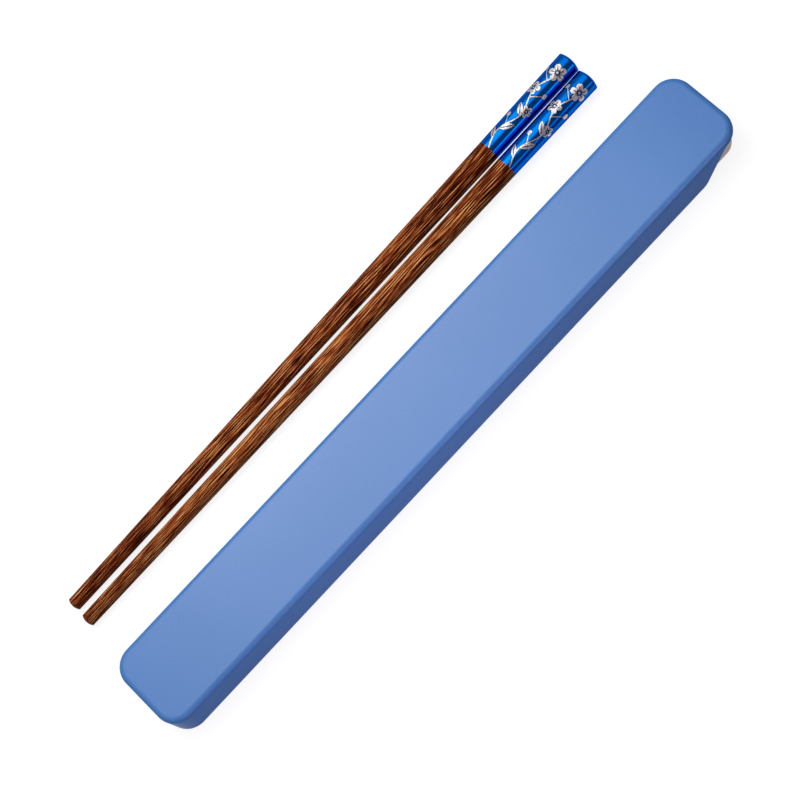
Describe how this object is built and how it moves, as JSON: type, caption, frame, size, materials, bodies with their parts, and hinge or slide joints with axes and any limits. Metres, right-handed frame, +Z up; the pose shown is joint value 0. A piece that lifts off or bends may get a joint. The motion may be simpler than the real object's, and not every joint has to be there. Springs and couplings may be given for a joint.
{
  "type": "portable chopstick case",
  "caption": "Slim travel case: a scooped cover slides lengthwise off an open tray with stick cradles; tapered wood chopsticks with engraved metal caps lie beside it.",
  "frame": {"origin": "on the table under the middle of the closed case, in the plane of the tray's foot", "axes": "+X along the case towards its open, scooped end, +Y towards the side where the chopsticks lie, +Z up"},
  "size_m": [0.245, 0.0624, 0.014],
  "materials": {
    "cover_plastic": "fine satin moulding",
    "tray_plastic": "satin moulding",
    "stick_wood": "oiled, dark streaked grain",
    "cap_aluminium": "blue anodised, engraved through to bare metal"
  },
  "bodies": {
    "tray": {"tray": "tray_plastic"},
    "cover": {"cover": "cover_plastic"},
    "near_chopstick": {"near_shaft": "stick_wood", "near_cap": "cap_aluminium"},
    "far_chopstick": {"far_shaft": "stick_wood", "far_cap": "cap_aluminium"}
  },
  "joints": [
    {"name": "cover_slide", "type": "slide", "parent": "tray", "child": "cover", "axis": [-1, 0, 0], "range_m": [0, 0.25]},
    {"name": "near_lift", "type": "slide", "parent": "tray", "child": "near_chopstick", "axis": [0, 0, 1], "range_m": [0, 0.12]},
    {"name": "far_lift", "type": "slide", "parent": "tray", "child": "far_chopstick", "axis": [0, 0, 1], "range_m": [0, 0.12]}
  ]
}
